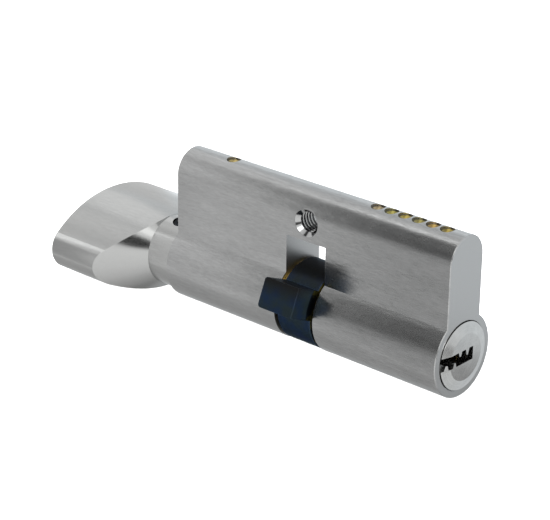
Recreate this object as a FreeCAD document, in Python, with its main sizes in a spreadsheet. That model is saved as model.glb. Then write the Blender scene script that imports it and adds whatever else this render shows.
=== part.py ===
import FreeCAD, Part
import math
import os

import Sketcher

# Euro-profile double cylinder lock, key on one side and a thumbturn on the other, in millimetres.
# X runs along the barrel: +X is the key side and -X the thumbturn side. +Z points from the barrel
# towards the pin chambers. The origin is on the barrel's axis, in line with the fixing screw.

doc = FreeCAD.newDocument("euro_cylinder")
sheet = doc.addObject("Spreadsheet::Sheet", "sizes")

DRIVING_SIZES = (
    # Body casting
    ("half_length", 35.0),
    ("barrel_radius", 8.5),
    ("web_half_width", 5.0),
    ("web_crown_height", 19.5),
    ("end_chamfer", 0.15),
    ("running_gap", 0.05),
    ("bore_radius", 6.52),
    ("counterbore_radius", 7.05),
    ("counterbore_depth", 1.2),
    ("slot_half_width", 5.0),
    ("slot_ceiling", 14.85),
    # Fixing screw thread, M5
    ("thread_height", 18.7),
    ("thread_minor_radius", 2.1),
    ("thread_major_radius", 2.5),
    ("thread_pitch", 0.8),
    ("thread_crest", 0.2),
    ("countersink_radius", 2.9),
    # Pin chambers
    ("pin_count", 6.0),
    ("first_pin_position", 13.7),
    ("pin_spacing", 3.3),
    ("retainer_position", -23.84),
    ("chamber_radius", 1.45),
    ("pin_radius", 1.41),
    ("chamber_plug_radius", 1.44),
    ("chamber_plug_top", 24.05),
    ("chamber_plug_length", 2.0),
    ("chamber_plug_bevel", 0.15),
    ("dimple_radius", 1.05),
    ("dimple_depth", 0.45),
    ("driver_bottom", 6.55),
    ("driver_length", 4.95),
    ("driver_nipple_radius", 0.8),
    ("driver_nipple_length", 0.8),
    ("key_pin_top", 6.4),
    ("pin_chamfer", 0.2),
    ("key_pin_top_rise", 0.16),
    ("key_pin_top_run", 0.6),
    ("key_pin_tip_radius", 0.45),
    ("key_pin_cone", 0.9),
    ("spring_radius", 1.16),
    ("spring_wire_radius", 0.14),
    ("spring_turns", 8.0),
    ("spring_end_gap", 1.1),
    # Plugs that turn in the body
    ("plug_radius", 6.47),
    ("flange_radius", 6.85),
    ("tail_radius", 5.45),
    ("clip_groove_radius", 5.05),
    ("key_plug_tail_end", 1.0),
    ("key_plug_face", 35.9),
    ("key_plug_face_radius", 4.75),
    ("key_plug_rim", 35.25),
    ("keyway_bottom", -1.1),
    ("keyway_top", 1.6),
    ("keyway_end", 2.2),
    ("keyway_mouth", -7.2),
    ("keyway_depth", 27.4),
    ("ridge_base_half_width", 0.52),
    ("ridge_tip_half_width", 0.19),
    ("nose_hole_radius", 1.3),
    ("nose_hole_end", 11.0),
    ("turn_plug_tail_end", -1.2),
    ("retainer_groove_radius", 5.4),
    ("retainer_groove_half_width", 1.6),
    ("drive_key_radius", 6.4),
    ("drive_key_half_width", 1.1),
    ("spigot_radius", 5.0),
    ("spigot_end", -41.0),
    ("spigot_flat", 4.6),
    ("spring_pocket_radius", 2.1),
    ("spring_pocket_end", -6.0),
    # Circlips
    ("clip_outer_radius", 7.6),
    ("clip_inner_radius", 5.07),
    ("clip_near", 4.42),
    ("clip_thickness", 0.5),
    ("clip_groove_gap", 0.03),
    ("clip_gap_middle", 200.0),
    ("clip_gap_half_angle", 34.0),
    # Cam
    ("cam_half_width", 4.35),
    ("cam_ring_radius", 8.4),
    ("cam_ring_chamfer", 0.25),
    ("cam_bore_radius", 5.5),
    ("cam_slot_radius", 6.45),
    ("cam_slot_half_width", 1.15),
    ("cam_recess_radius", 6.5),
    ("cam_recess_start", 0.9),
    ("cam_tab_angle", 67.2),
    ("cam_tab_root", 6.9),
    ("cam_tab_tip", 14.15),
    ("cam_tab_half_thickness", 3.1),
    ("cam_tab_near_corner", 0.7),
    ("cam_tab_far_corner", 0.25),
    ("cam_tab_tip_edge", 0.15),
    # Clutch
    ("clutch_front", 1.1),
    ("clutch_wing_end", 3.3),
    ("clutch_wing_height", 6.3),
    ("clutch_blade_end", 7.0),
    ("clutch_blade_height", 4.2),
    ("clutch_half_thickness", 1.05),
    ("clutch_nose_radius", 1.2),
    ("clutch_nose_end", 10.5),
    ("clutch_clearance", 0.1),
    ("clutch_travel", 2.0),
    ("clutch_spring_radius", 1.7),
    ("clutch_spring_wire_radius", 0.2),
    ("clutch_spring_turns", 5.0),
    # Thumbturn
    ("knob_end", -62.5),
    ("knob_half_width", 15.9),
    ("knob_half_thickness", 8.0),
    ("knob_edge_radius", 4.9),
    ("knob_drop", 0.23),
    ("knob_tilt", 8.3),
    ("knob_end_fillet", 0.6),
    ("neck_start", -35.1),
    ("neck_end", -41.2),
    ("neck_radius", 7.62),
    ("dome_end", -51.2),
    ("dome_end_radius", 17.2),
    ("dome_curve_radius", 80.0),
    ("knob_bore_radius", 5.03),
    ("knob_bore_end", -42.5),
    ("grub_position", -37.6),
    ("grub_radius", 1.9),
    ("grub_hole_radius", 1.95),
    ("grub_tip", 4.65),
    ("grub_outer_end", 7.4),
    ("grub_bevel", 0.3),
    ("grub_socket_across_flats", 2.0),
    ("grub_socket_depth", 1.4),
)


class Size:
    """A length together with the sheet formula that gives it."""

    def __init__(self, formula, value):
        self.formula = formula
        self.value = value

    def joined(self, sign, other, value):
        return Size("(%s %s %s)" % (self.formula, sign, other.formula), value)

    def __add__(self, other):
        other = as_size(other)
        return self.joined("+", other, self.value + other.value)

    def __sub__(self, other):
        other = as_size(other)
        return self.joined("-", other, self.value - other.value)

    def __mul__(self, other):
        other = as_size(other)
        return self.joined("*", other, self.value * other.value)

    def __truediv__(self, other):
        other = as_size(other)
        return self.joined("/", other, self.value / other.value)

    def __neg__(self):
        return Size("(-1 * %s)" % self.formula, -self.value)

    def root(self):
        return Size("sqrt(%s)" % self.formula, math.sqrt(self.value))


def as_size(number):
    """Return a Size as it is, and a plain number as a Size."""
    if isinstance(number, Size):
        return number
    return Size(repr(float(number)), float(number))


size = {}
for row, (alias, number) in enumerate(DRIVING_SIZES, start=1):
    sheet.set("A%d" % row, alias)
    sheet.set("B%d" % row, repr(number))
    sheet.setAlias("B%d" % row, alias)
    size[alias] = Size("sizes." + alias, number)
doc.recompute()


def bind(thing, attribute, length):
    """Set a property to a size and keep it bound to the sheet."""
    length = as_size(length)
    if "." not in attribute:
        setattr(thing, attribute, length.value)
    thing.setExpression(attribute, length.formula)


def new_body(label):
    body = doc.addObject("PartDesign::Body", label + "_body")
    body.Label = label
    return body


def place(body, x=0.0, tilt=0.0):
    """Put a finished body at x along the barrel, turned by tilt degrees about X."""
    body.Placement = FreeCAD.Placement(
        FreeCAD.Vector(as_size(x).value, 0, 0),
        FreeCAD.Rotation(FreeCAD.Vector(1, 0, 0), as_size(tilt).value),
    )
    if isinstance(x, Size):
        body.setExpression("Placement.Base.x", x.formula)


def new_sketch(body, name, plane, offset=0.0, turn=None):
    """Open a sketch on one of the body's planes, moved by offset along the plane's normal."""
    sketch = body.newObject("Sketcher::SketchObject", name)
    support = [part for part in body.Origin.OriginFeatures if part.Role == plane][0]
    sketch.AttachmentSupport = (support, [""])
    sketch.MapMode = "FlatFace"
    rotation = turn if turn else FreeCAD.Rotation()
    offset = as_size(offset)
    base = rotation.multVec(FreeCAD.Vector(0, 0, offset.value))
    sketch.AttachmentOffset = FreeCAD.Placement(base, rotation)
    if not turn:
        sketch.setExpression("AttachmentOffset.Base.z", offset.formula)
    return sketch


def hold(sketch, index, position, point):
    """Hold one point of the sketch at the given coordinates."""
    for kind, coordinate in zip(("DistanceX", "DistanceY"), point):
        coordinate = as_size(coordinate)
        datum = Sketcher.Constraint(kind, -1, 1, index, position, coordinate.value)
        number = sketch.addConstraint(datum)
        if "sizes." in coordinate.formula:
            sketch.setExpression("Constraints[%d]" % number, coordinate.formula)


def draw_outline(sketch, corners):
    """Draw a closed outline of straight lines through the corners."""
    points = [FreeCAD.Vector(as_size(u).value, as_size(v).value, 0) for u, v in corners]
    first = sketch.GeometryCount
    count = len(points)
    for step in range(count):
        sketch.addGeometry(Part.LineSegment(points[step], points[(step + 1) % count]))
    for step in range(count):
        following = first + (step + 1) % count
        sketch.addConstraint(Sketcher.Constraint("Coincident", first + step, 2, following, 1))
        hold(sketch, first + step, 1, corners[step])


def draw_box(sketch, across, bottom, top):
    """Draw a rectangle that is centred across the sketch and runs from bottom to top."""
    draw_outline(sketch, ((-across, bottom), (across, bottom), (across, top), (-across, top)))


def draw_circle(sketch, radius, centre=(0.0, 0.0)):
    radius = as_size(radius)
    middle = FreeCAD.Vector(as_size(centre[0]).value, as_size(centre[1]).value, 0)
    index = sketch.addGeometry(Part.Circle(middle, FreeCAD.Vector(0, 0, 1), radius.value))
    number = sketch.addConstraint(Sketcher.Constraint("Radius", index, radius.value))
    sketch.setExpression("Constraints[%d]" % number, radius.formula)
    hold(sketch, index, 3, centre)


def draw_arc(sketch, centre, start, end, radius):
    """Draw an anticlockwise arc about centre, from start to end."""
    middle = FreeCAD.Vector(centre[0], centre[1], 0)
    circle = Part.Circle(middle, FreeCAD.Vector(0, 0, 1), radius.value)
    first = math.atan2(start[1] - centre[1], start[0] - centre[0])
    last = math.atan2(end[1] - centre[1], end[0] - centre[0])
    if last <= first:
        last += 2 * math.pi
    index = sketch.addGeometry(Part.ArcOfCircle(circle, first, last))
    number = sketch.addConstraint(Sketcher.Constraint("Radius", index, radius.value))
    sketch.setExpression("Constraints[%d]" % number, radius.formula)
    return index


def extrude(body, name, kind, sketch, length, forward=True):
    """Pad or pocket a sketch by length, along its normal if forward."""
    feature = body.newObject("PartDesign::" + kind, name)
    feature.Profile = sketch
    bind(feature, "Length", length)
    feature.Reversed = forward if kind == "Pocket" else not forward
    sketch.Visibility = False
    return feature


def pad(body, name, sketch, length, forward=True):
    return extrude(body, name, "Pad", sketch, length, forward)


def pocket(body, name, sketch, length, forward=True):
    return extrude(body, name, "Pocket", sketch, length, forward)


def turned(body, name, corners, kind="Revolution", axis="H_Axis"):
    """Turn an outline drawn in the XZ plane a full circle about X, or about Z for V_Axis."""
    sketch = new_sketch(body, name + "_outline", "XZ_Plane")
    draw_outline(sketch, corners)
    feature = body.newObject("PartDesign::" + kind, name)
    feature.Profile = sketch
    feature.ReferenceAxis = (sketch, [axis])
    feature.Angle = 360.0
    return feature


def bored(body, name, radius, start, length, centre=(0.0, 0.0), plane="YZ_Plane", forward=True):
    """Bore a round hole of the given length from start, along or against the plane's normal."""
    sketch = new_sketch(body, name + "_circle", plane, start)
    draw_circle(sketch, radius, centre)
    return pocket(body, name, sketch, length, forward)


def edges_where(shape, test):
    return ["Edge%d" % (number + 1) for number, edge in enumerate(shape.Edges) if test(edge)]


def edge_feature(body, name, kind, attribute, edges, length):
    """Fillet or chamfer the chosen edges of the body's last feature."""
    base = body.Tip
    feature = body.newObject("PartDesign::" + kind, name)
    feature.Base = (base, edges)
    bind(feature, attribute, length)
    return feature


def pin_position(number):
    return size["first_pin_position"] + size["pin_spacing"] * number


PIN_NUMBERS = range(int(size["pin_count"].value))
# Lengths of a cut that goes right through, and of a cut's start outside the material.
THROUGH = 60.0
OVERCUT = 0.5


# ---------------------------------------------------------------------------------------------
# Body: a round barrel with a flat-sided web above it, cut across the middle for the cam
# ---------------------------------------------------------------------------------------------

def make_body():
    body = new_body("cylinder_body")
    full_length = size["half_length"] * 2

    barrel = new_sketch(body, "barrel_circle", "YZ_Plane", -size["half_length"])
    draw_circle(barrel, size["barrel_radius"])
    pad(body, "barrel", barrel, full_length)

    web = new_sketch(body, "web_outline", "YZ_Plane", -size["half_length"])
    half = size["web_half_width"]
    crown = size["web_crown_height"]
    corners = ((-half, as_size(0.0)), (half, as_size(0.0)), (half, crown), (-half, crown))
    points = [FreeCAD.Vector(u.value, v.value, 0) for u, v in corners]
    for start, end in ((3, 0), (0, 1), (1, 2)):
        web.addGeometry(Part.LineSegment(points[start], points[end]))
    crown_ends = ((half.value, crown.value), (-half.value, crown.value))
    crown_arc = draw_arc(web, (0.0, crown.value), crown_ends[0], crown_ends[1], half)
    for first, second in ((0, 1), (1, 2)):
        web.addConstraint(Sketcher.Constraint("Coincident", first, 2, second, 1))
    web.addConstraint(Sketcher.Constraint("Coincident", 2, 2, crown_arc, 1))
    web.addConstraint(Sketcher.Constraint("Coincident", crown_arc, 2, 0, 1))
    hold(web, 0, 2, corners[0])
    hold(web, 1, 2, corners[1])
    hold(web, crown_arc, 3, (as_size(0.0), crown))
    pad(body, "web", web, full_length)

    doc.recompute()
    end = size["half_length"].value
    outline = edges_where(body.Tip.Shape, lambda edge: abs(abs(edge.CenterOfMass.x) - end) < 1e-6)
    edge_feature(body, "end_edges", "Chamfer", "Size", outline, size["end_chamfer"])

    for side, sign in (("key", 1.0), ("turn", -1.0)):
        outward = sign > 0
        bored(body, side + "_bore", size["bore_radius"], 0.0, THROUGH, forward=outward)
        shoulder = (size["half_length"] - size["counterbore_depth"]) * sign
        bored(body, side + "_counterbore", size["counterbore_radius"], shoulder, THROUGH, forward=outward)

    slot = new_sketch(body, "cam_slot_outline", "XZ_Plane", -THROUGH / 2)
    draw_box(slot, size["slot_half_width"], -size["barrel_radius"] - OVERCUT, size["slot_ceiling"])
    pocket(body, "cam_slot", slot, THROUGH)

    add_chambers(body)
    add_fixing_thread(body)
    return body


def add_chambers(body):
    """Drill the pin chambers down from the web's crown into the two bores."""
    drills = new_sketch(body, "chamber_circles", "XY_Plane")
    for number in PIN_NUMBERS:
        draw_circle(drills, size["chamber_radius"], (pin_position(number), 0.0))
    draw_circle(drills, size["chamber_radius"], (size["retainer_position"], 0.0))
    pocket(body, "chambers", drills, THROUGH)


def add_fixing_thread(body):
    """Drill across the web for the fixing screw, countersink both mouths and cut the thread."""
    middle = (as_size(0.0), size["thread_height"])
    bored(body, "fixing_hole", size["thread_minor_radius"], -THROUGH / 2, THROUGH, middle, "XZ_Plane")

    half = size["web_half_width"]
    minor = size["thread_minor_radius"]
    major = size["thread_major_radius"]
    mouth = size["countersink_radius"]
    height = size["thread_height"]
    for side, sign in (("near", -1.0), ("far", 1.0)):
        sketch = new_sketch(body, side + "_countersink_outline", "YZ_Plane")
        outside = (half + OVERCUT) * sign
        face = half * sign
        bottom = (half - (mouth - minor)) * sign
        draw_outline(sketch, ((outside, height), (outside, height + mouth), (face, height + mouth),
                              (bottom, height + minor), (bottom, height)))
        groove_about_screw(body, side + "_countersink", sketch)

    # One ring-shaped groove with a flat root, repeated at the thread's pitch.
    pitch = size["thread_pitch"]
    crest = size["thread_crest"]
    start = (mouth - minor) + crest - half
    middle_of_groove = start + (pitch - crest) / 2
    end = start + (pitch - crest)
    root = crest / 2
    below = height + minor - OVERCUT
    sketch = new_sketch(body, "thread_outline", "YZ_Plane")
    draw_outline(sketch, (
        (start, below), (start, height + minor), (middle_of_groove - root, height + major),
        (middle_of_groove + root, height + major), (end, height + minor), (end, below)))
    groove = groove_about_screw(body, "thread_turn", sketch)
    threaded_length = (half - mouth + minor) * 2 - crest
    turns = int(threaded_length.value / pitch.value)
    pattern = body.newObject("PartDesign::LinearPattern", "thread")
    pattern.Originals = [groove]
    pattern.Direction = (sketch, ["H_Axis"])
    bind(pattern, "Length", pitch * (turns - 1))
    pattern.Occurrences = turns
    body.Tip = pattern


def groove_about_screw(body, name, sketch):
    """Turn a sketch a full circle about the fixing screw's axis, as a cut."""
    height = size["thread_height"]
    ends = [FreeCAD.Vector(end, height.value, 0) for end in (-THROUGH, THROUGH)]
    line = sketch.addGeometry(Part.LineSegment(ends[0], ends[1]), True)
    sketch.addConstraint(Sketcher.Constraint("Horizontal", line))
    number = sketch.addConstraint(Sketcher.Constraint("DistanceY", -1, 1, line, 1, height.value))
    sketch.setExpression("Constraints[%d]" % number, height.formula)
    feature = body.newObject("PartDesign::Groove", name)
    feature.Profile = sketch
    feature.ReferenceAxis = (sketch, ["Axis0"])
    feature.Angle = 360.0
    return feature


# ---------------------------------------------------------------------------------------------
# Pin stacks: key pin, driver pin, spring and the brass plug that closes each chamber
# ---------------------------------------------------------------------------------------------

def make_chamber_plug(label, x):
    """Short brass plug with a turned dimple, pressed into the top of a chamber."""
    body = new_body(label)
    radius = size["chamber_plug_radius"]
    top = size["chamber_plug_top"]
    bottom = top - size["chamber_plug_length"]
    bevel = size["chamber_plug_bevel"]
    corners = ((0.0, bottom), (radius - bevel, bottom), (radius, bottom + bevel), (radius, top),
               (size["dimple_radius"], top), (0.0, top - size["dimple_depth"]))
    turned(body, label + "_turning", corners, axis="V_Axis")
    place(body, x)
    return body


def make_driver_pin(label, x):
    body = new_body(label)
    radius = size["pin_radius"]
    bottom = size["driver_bottom"]
    top = bottom + size["driver_length"]
    bevel = size["pin_chamfer"]
    nipple = size["driver_nipple_radius"]
    tip = top + size["driver_nipple_length"]
    corners = ((0.0, bottom), (radius - bevel, bottom), (radius, bottom + bevel), (radius, top),
               (nipple, top), (nipple, tip), (0.0, tip))
    turned(body, label + "_turning", corners, axis="V_Axis")
    place(body, x)
    return body


def make_key_pin(label, x, tip_height):
    body = new_body(label)
    radius = size["pin_radius"]
    top = size["key_pin_top"]
    corners = ((0.0, tip_height), (size["key_pin_tip_radius"], tip_height),
               (radius, size["key_pin_cone"] + tip_height), (radius, top - size["key_pin_top_rise"]),
               (radius - size["key_pin_top_run"], top), (0.0, top))
    turned(body, label + "_turning", corners, axis="V_Axis")
    place(body, x)
    return body


def make_retainer_pin():
    """Pin whose end runs in the turn plug's groove, so the plug turns but can't be pulled out."""
    body = new_body("turn_retaining_pin")
    radius = size["pin_radius"]
    bottom = size["retainer_groove_radius"] + size["running_gap"] * 2
    top = size["driver_bottom"] + size["driver_length"]
    bevel = size["pin_chamfer"]
    corners = ((0.0, bottom), (radius - bevel, bottom), (radius, bottom + bevel), (radius, top), (0.0, top))
    turned(body, "turn_retaining_pin_turning", corners, axis="V_Axis")
    place(body, size["retainer_position"])
    return body


def make_spring(label, coil_sizes, start, end, x=None):
    """Coil spring from start to end: upright where x is given, and along the barrel's axis if not."""
    radius, wire_radius, turns = coil_sizes
    end_gap = wire_radius * size["spring_end_gap"]
    height = (end - start) - end_gap * 2
    helix = doc.addObject("Part::Helix", label + "_helix")
    bind(helix, "Radius", radius)
    bind(helix, "Height", height)
    bind(helix, "Pitch", height / turns)
    wire = doc.addObject("Part::Circle", label + "_wire")
    bind(wire, "Radius", wire_radius)
    wire.Placement = FreeCAD.Placement(
        FreeCAD.Vector(radius.value, 0, 0), FreeCAD.Rotation(FreeCAD.Vector(1, 0, 0), 90))
    wire.setExpression("Placement.Base.x", radius.formula)
    doc.recompute()
    coil = doc.addObject("Part::Sweep", label + "_coil")
    coil.Label = label
    coil.Sections = [wire]
    coil.Spine = (helix, ["Edge%d" % (n + 1) for n in range(len(helix.Shape.Edges))])
    coil.Solid = True
    coil.Frenet = True
    lowest = start + end_gap
    if x is None:
        along_barrel = FreeCAD.Rotation(FreeCAD.Vector(0, 1, 0), 90)
        coil.Placement = FreeCAD.Placement(FreeCAD.Vector(lowest.value, 0, 0), along_barrel)
        coil.setExpression("Placement.Base.x", lowest.formula)
    else:
        coil.Placement = FreeCAD.Placement(FreeCAD.Vector(x.value, 0, lowest.value), FreeCAD.Rotation())
        coil.setExpression("Placement.Base.x", x.formula)
        coil.setExpression("Placement.Base.z", lowest.formula)
    return coil


def make_pin_spring(label, x):
    start = size["driver_bottom"] + size["driver_length"]
    end = size["chamber_plug_top"] - size["chamber_plug_length"]
    coil = (size["spring_radius"], size["spring_wire_radius"], size["spring_turns"])
    return make_spring(label, coil, start, end, x)


def make_clutch_spring(label):
    coil = (size["clutch_spring_radius"], size["clutch_spring_wire_radius"], size["clutch_spring_turns"])
    return make_spring(label, coil, size["spring_pocket_end"], size["clutch_front"])


# ---------------------------------------------------------------------------------------------
# Key plug: turned brass plug with a milled keyway, pin chambers and a slot for the clutch
# ---------------------------------------------------------------------------------------------

# Each ridge in the keyway: where its middle is across the plug, and the height of its tip.
FLOOR_RIDGES = ((-5.62, -0.05), (-3.4, -0.1))
CEILING_RIDGES = ((0.43, 0.35), (-1.75, 0.65))


def keyway_corners():
    """Outline of the keyway, with ridges on its floor and ceiling, seen along the barrel."""
    floor = size["keyway_bottom"]
    ceiling = size["keyway_top"]
    base = size["ridge_base_half_width"]
    tip = size["ridge_tip_half_width"]
    corners = [(size["keyway_mouth"], floor)]
    for middle, height in FLOOR_RIDGES:
        corners += [(-base + middle, floor), (-tip + middle, height)]
        corners += [(tip + middle, height), (base + middle, floor)]
    corners += [(size["keyway_end"], floor), (size["keyway_end"], ceiling)]
    for middle, height in CEILING_RIDGES:
        corners += [(base + middle, ceiling), (tip + middle, height)]
        corners += [(-tip + middle, height), (-base + middle, ceiling)]
    corners.append((size["keyway_mouth"], ceiling))
    return corners


def make_key_plug():
    body = new_body("key_plug")
    shank = size["plug_radius"]
    flange = size["flange_radius"]
    tail = size["tail_radius"]
    groove = size["clip_groove_radius"]
    tail_end = size["key_plug_tail_end"]
    shank_end = size["slot_half_width"] + size["running_gap"]
    shoulder = size["half_length"] - size["counterbore_depth"] + size["running_gap"]
    clip_near = size["clip_near"] - size["clip_groove_gap"]
    clip_far = size["clip_near"] + size["clip_thickness"] + size["clip_groove_gap"]
    corners = (
        (tail_end, 0.0), (tail_end, tail), (clip_near, tail), (clip_near, groove), (clip_far, groove),
        (clip_far, tail), (shank_end, tail), (shank_end, shank), (shoulder, shank), (shoulder, flange),
        (size["key_plug_rim"], flange), (size["key_plug_face"], size["key_plug_face_radius"]),
        (size["key_plug_face"], 0.0),
    )
    turned(body, "key_plug_turning", corners)

    keyway = new_sketch(body, "keyway_outline", "YZ_Plane", size["key_plug_face"] + OVERCUT)
    draw_outline(keyway, keyway_corners())
    pocket(body, "keyway", keyway, size["keyway_depth"] + OVERCUT, forward=False)

    chambers = new_sketch(body, "plug_chamber_circles", "XY_Plane", size["keyway_bottom"])
    for number in PIN_NUMBERS:
        draw_circle(chambers, size["chamber_radius"], (pin_position(number), 0.0))
    pocket(body, "plug_chambers", chambers, size["plug_radius"] * 2)

    gap = size["clutch_clearance"]
    across = size["clutch_half_thickness"] + gap * 0.7
    slots = (
        ("wing_slot", size["plug_radius"], size["clutch_wing_end"] + gap * 1.5),
        ("blade_slot", size["clutch_blade_height"] + gap, size["clutch_blade_end"] + gap * 2),
    )
    for name, reach, slot_end in slots:
        slot = new_sketch(body, name + "_outline", "YZ_Plane", tail_end - OVERCUT)
        draw_box(slot, across, -reach, reach)
        pocket(body, name, slot, slot_end - tail_end + OVERCUT)
    start = size["clutch_blade_end"] - size["clutch_travel"] - gap * 2
    bored(body, "nose_hole", size["nose_hole_radius"], start, size["nose_hole_end"] - start)
    return body


# ---------------------------------------------------------------------------------------------
# Turn plug: turned brass plug that carries the thumbturn outside and the cam inside
# ---------------------------------------------------------------------------------------------

def make_turn_plug():
    body = new_body("turn_plug")
    shank = size["plug_radius"]
    flange = size["flange_radius"]
    tail = size["tail_radius"]
    groove = size["clip_groove_radius"]
    spigot = size["spigot_radius"]
    end = -size["half_length"]
    shoulder = end + size["counterbore_depth"] - size["running_gap"]
    shank_end = -size["slot_half_width"] - size["running_gap"]
    clip_near = size["clip_groove_gap"] - size["clip_near"]
    clip_far = clip_near - size["clip_thickness"] - size["clip_groove_gap"] * 2
    spigot_bevel = size["pin_chamfer"]
    groove_from = size["retainer_position"] - size["retainer_groove_half_width"]
    groove_to = size["retainer_position"] + size["retainer_groove_half_width"]
    deep = size["retainer_groove_radius"]
    corners = (
        (size["spigot_end"], 0.0), (size["spigot_end"], spigot - spigot_bevel),
        (size["spigot_end"] + spigot_bevel, spigot),
        (end, spigot), (end, flange), (shoulder, flange), (shoulder, shank), (groove_from, shank),
        (groove_from, deep), (groove_to, deep), (groove_to, shank), (shank_end, shank), (shank_end, tail),
        (clip_far, tail), (clip_far, groove), (clip_near, groove), (clip_near, tail),
        (size["turn_plug_tail_end"], tail), (size["turn_plug_tail_end"], 0.0),
    )
    turned(body, "turn_plug_turning", corners)

    keys_start = size["running_gap"] - size["cam_half_width"]
    keys = new_sketch(body, "drive_key_outline", "YZ_Plane", keys_start)
    draw_box(keys, size["drive_key_half_width"], -size["drive_key_radius"], size["drive_key_radius"])
    pad(body, "drive_keys", keys, size["turn_plug_tail_end"] - keys_start)

    start = size["turn_plug_tail_end"]
    depth = start - size["spring_pocket_end"]
    bored(body, "spring_pocket", size["spring_pocket_radius"], start, depth, forward=False)

    tilt = FreeCAD.Rotation(FreeCAD.Vector(0, 0, 1), size["knob_tilt"].value)
    flat = new_sketch(body, "spigot_flat_outline", "YZ_Plane", size["spigot_end"] - OVERCUT, tilt)
    draw_box(flat, spigot, size["spigot_flat"], spigot + OVERCUT)
    pocket(body, "spigot_flat", flat, end - size["spigot_end"] + OVERCUT - size["running_gap"])
    return body


# ---------------------------------------------------------------------------------------------
# Cam, clutch and circlips in the middle of the cylinder
# ---------------------------------------------------------------------------------------------

def make_cam():
    """Steel ring that turns in the slot, with the tab that throws the lock's bolt."""
    body = new_body("cam")
    half = size["cam_half_width"]
    lean = FreeCAD.Rotation(FreeCAD.Vector(1, 0, 0), size["cam_tab_angle"].value)
    tab = new_sketch(body, "cam_tab_outline", "XY_Plane", size["cam_tab_root"], lean)
    draw_box(tab, half, -size["cam_tab_half_thickness"], size["cam_tab_half_thickness"])
    pad(body, "cam_tab", tab, size["cam_tab_tip"] - size["cam_tab_root"])

    outward = lean.multVec(FreeCAD.Vector(0, 0, 1))

    def along_tab(edge, side):
        run = edge.tangentAt(edge.FirstParameter)
        return abs(run.dot(outward)) > 0.999 and abs(edge.CenterOfMass.x - side.value) < 1e-6

    for name, side in (("near", -half), ("far", half)):
        doc.recompute()
        corners = edges_where(body.Tip.Shape, lambda edge: along_tab(edge, side))
        radius = size["cam_tab_%s_corner" % name]
        edge_feature(body, "tab_%s_corners" % name, "Fillet", "Radius", corners, radius)
    doc.recompute()
    tip = size["cam_tab_tip"].value
    rim = edges_where(body.Tip.Shape, lambda edge: abs(edge.CenterOfMass.dot(outward) - tip) < 1e-6)
    edge_feature(body, "tab_tip_edges", "Fillet", "Radius", rim, size["cam_tab_tip_edge"])

    bore = size["cam_bore_radius"]
    outer = size["cam_ring_radius"]
    bevel = size["cam_ring_chamfer"]
    turned(body, "cam_ring", ((-half, bore), (half, bore), (half, outer - bevel), (half - bevel, outer),
                              (bevel - half, outer), (-half, outer - bevel)))

    slots = new_sketch(body, "cam_slot_outline", "YZ_Plane", -half - OVERCUT)
    draw_box(slots, size["cam_slot_half_width"], -size["cam_slot_radius"], size["cam_slot_radius"])
    pocket(body, "drive_slots", slots, (half + OVERCUT) * 2)
    start = size["cam_recess_start"]
    bored(body, "clutch_recess", size["cam_recess_radius"], start, half - start + OVERCUT)
    return body


def make_clutch():
    """Sprung coupler that the tip of the key pushes into the cam's slots."""
    body = new_body("clutch")
    front = size["clutch_front"]
    wing_end = size["clutch_wing_end"]
    blade_end = size["clutch_blade_end"]
    wing = size["clutch_wing_height"]
    blade = size["clutch_blade_height"]
    plate = new_sketch(body, "clutch_plate_outline", "XZ_Plane", -size["clutch_half_thickness"])
    corners = ((front, -wing), (wing_end, -wing), (wing_end, -blade), (blade_end, -blade),
               (blade_end, blade), (wing_end, blade), (wing_end, wing), (front, wing))
    draw_outline(plate, corners)
    pad(body, "clutch_plate", plate, size["clutch_half_thickness"] * 2)
    nose = new_sketch(body, "clutch_nose_circle", "YZ_Plane", blade_end - size["clutch_clearance"])
    draw_circle(nose, size["clutch_nose_radius"])
    pad(body, "clutch_nose", nose, size["clutch_nose_end"] - blade_end + size["clutch_clearance"])
    doc.recompute()
    end = size["clutch_nose_end"].value
    rim = edges_where(body.Tip.Shape, lambda edge: abs(edge.CenterOfMass.x - end) < 1e-6)
    edge_feature(body, "nose_rounding", "Fillet", "Radius", rim, size["clutch_nose_radius"] * 0.4)
    return body


def make_circlip(label, start):
    """Flat spring clip, open on one side, that sits in a plug's groove against the slot wall."""
    body = new_body(label)
    sketch = new_sketch(body, label + "_outline", "YZ_Plane", start)
    middle = math.radians(size["clip_gap_middle"].value)
    half_gap = math.radians(size["clip_gap_half_angle"].value)
    angles = (middle + half_gap, middle - half_gap)
    rim = {}
    for name in ("outer", "inner"):
        radius = size["clip_%s_radius" % name]
        ends = [(radius.value * math.cos(angle), radius.value * math.sin(angle)) for angle in angles]
        rim[name] = draw_arc(sketch, (0.0, 0.0), ends[0], ends[1], radius)
        sketch.addConstraint(Sketcher.Constraint("Coincident", rim[name], 3, -1, 1))
    for position in (1, 2):
        points = [sketch.getPoint(rim[name], position) for name in ("outer", "inner")]
        line = sketch.addGeometry(Part.LineSegment(points[0], points[1]))
        sketch.addConstraint(Sketcher.Constraint("Coincident", line, 1, rim["outer"], position))
        sketch.addConstraint(Sketcher.Constraint("Coincident", line, 2, rim["inner"], position))
    pad(body, label + "_plate", sketch, size["clip_thickness"])
    return body


# ---------------------------------------------------------------------------------------------
# Thumbturn: a flat oval grip whose back is turned down to a round neck
# ---------------------------------------------------------------------------------------------

# How far the cut behind the grip reaches past the grip's edge.
CLEAR_OF_GRIP = 5.0


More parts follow.
